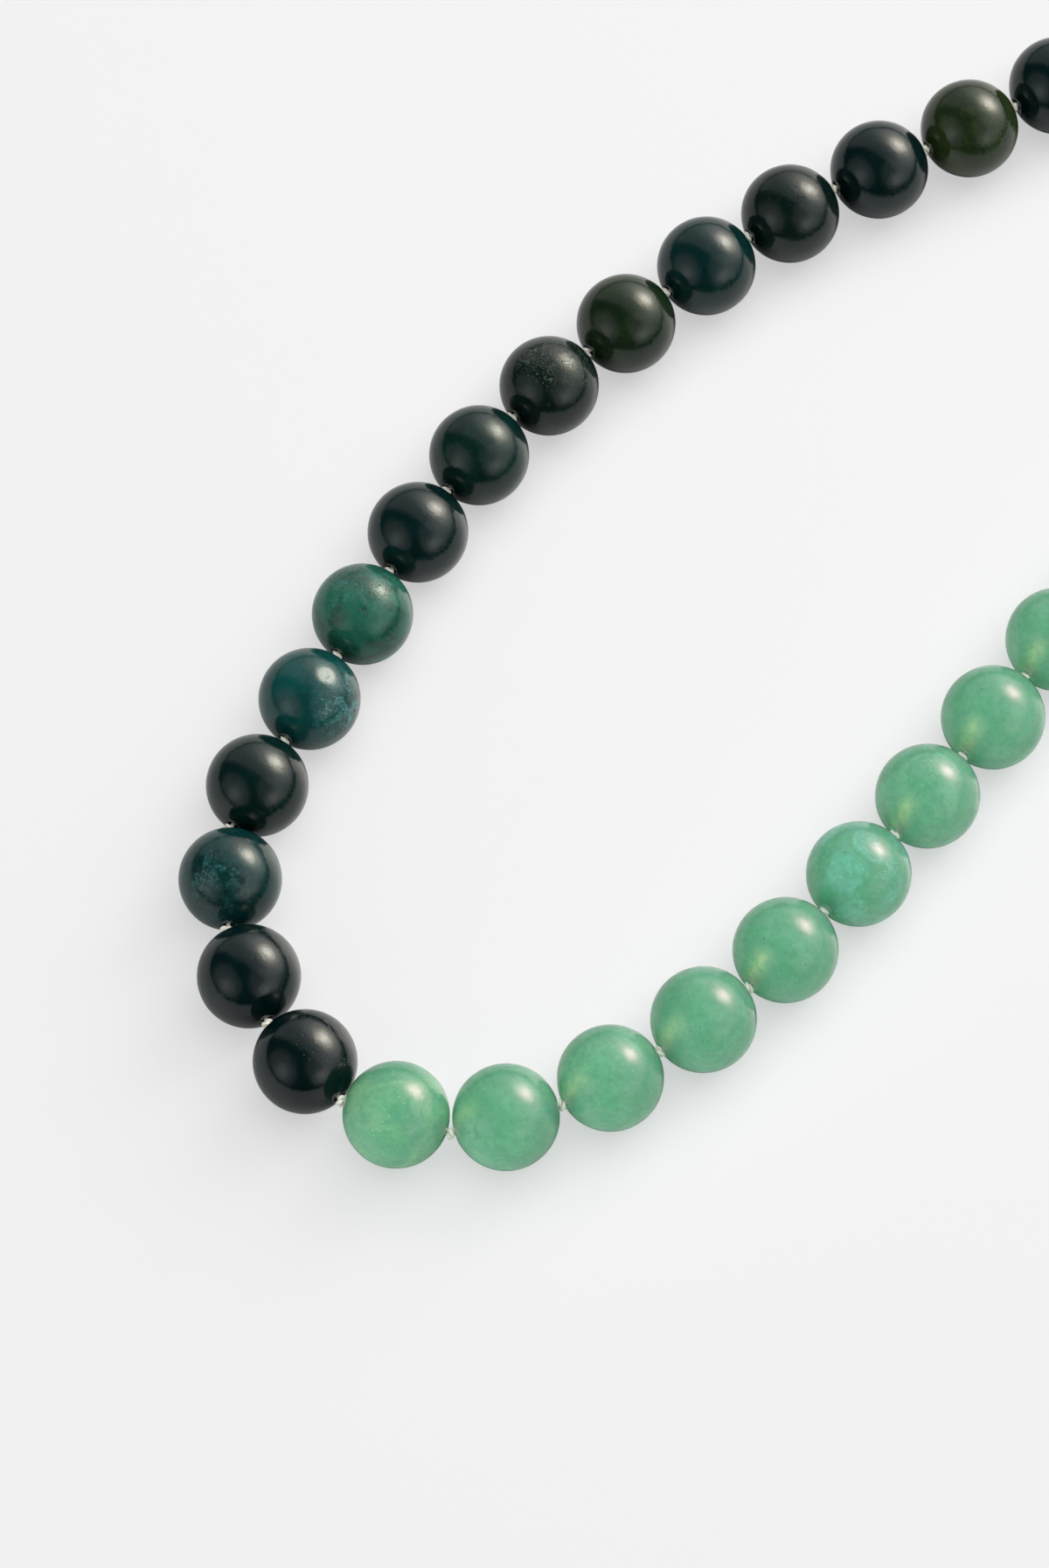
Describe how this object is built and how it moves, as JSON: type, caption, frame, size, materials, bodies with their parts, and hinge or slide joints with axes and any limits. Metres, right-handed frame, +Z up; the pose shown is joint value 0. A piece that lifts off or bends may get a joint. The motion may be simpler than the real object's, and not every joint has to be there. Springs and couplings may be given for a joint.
{
  "type": "beaded necklace",
  "caption": "Knotted necklace of round polished stone beads, half dark moss green and half pale green, strung on silk and closed by a plain box clasp.",
  "frame": {"origin": "on the surface that the necklace lies on, below the middle of its bounding box", "axes": "+Z up from the surface; +Y along the length of the loop from the front centre, where the two colours meet, towards the clasp; +X towards the pale half's side"},
  "size_m": [0.0755, 0.2112, 0.0102],
  "materials": {
    "moss_agate_deep": "polished",
    "moss_agate_teal": "polished",
    "moss_agate_green": "polished",
    "aventurine": "polished",
    "silk": "matte",
    "clasp_metal": "polished"
  },
  "bodies": {
    "root": {"moss_agate_bead_01": "moss_agate_green", "moss_agate_bead_02": "moss_agate_teal", "moss_agate_bead_03": "moss_agate_teal", "moss_agate_bead_04": "moss_agate_teal", "moss_agate_bead_05": "moss_agate_green", "moss_agate_bead_06": "moss_agate_teal", "moss_agate_bead_07": "moss_agate_deep", "moss_agate_bead_08": "moss_agate_green", "moss_agate_bead_09": "moss_agate_teal", "moss_agate_bead_10": "moss_agate_deep", "moss_agate_bead_11": "moss_agate_teal", "moss_agate_bead_12": "moss_agate_green", "moss_agate_bead_13": "moss_agate_green", "moss_agate_bead_14": "moss_agate_teal", "moss_agate_bead_15": "moss_agate_deep", "moss_agate_bead_16": "moss_agate_green", "moss_agate_bead_17": "moss_agate_teal", "moss_agate_bead_18": "moss_agate_deep", "moss_agate_bead_19": "moss_agate_teal", "moss_agate_bead_20": "moss_agate_deep", "moss_agate_bead_21": "moss_agate_deep", "aventurine_bead_01": "aventurine", "aventurine_bead_02": "aventurine", "aventurine_bead_03": "aventurine", "aventurine_bead_04": "aventurine", "aventurine_bead_05": "aventurine", "aventurine_bead_06": "aventurine", "aventurine_bead_07": "aventurine", "aventurine_bead_08": "aventurine", "aventurine_bead_09": "aventurine", "aventurine_bead_10": "aventurine", "aventurine_bead_11": "aventurine", "aventurine_bead_12": "aventurine", "aventurine_bead_13": "aventurine", "aventurine_bead_14": "aventurine", "aventurine_bead_15": "aventurine", "aventurine_bead_16": "aventurine", "aventurine_bead_17": "aventurine", "aventurine_bead_18": "aventurine", "aventurine_bead_19": "aventurine", "aventurine_bead_20": "aventurine", "aventurine_bead_21": "aventurine", "silk_thread": "silk", "box_clasp": "clasp_metal"}
  },
  "joints": []
}
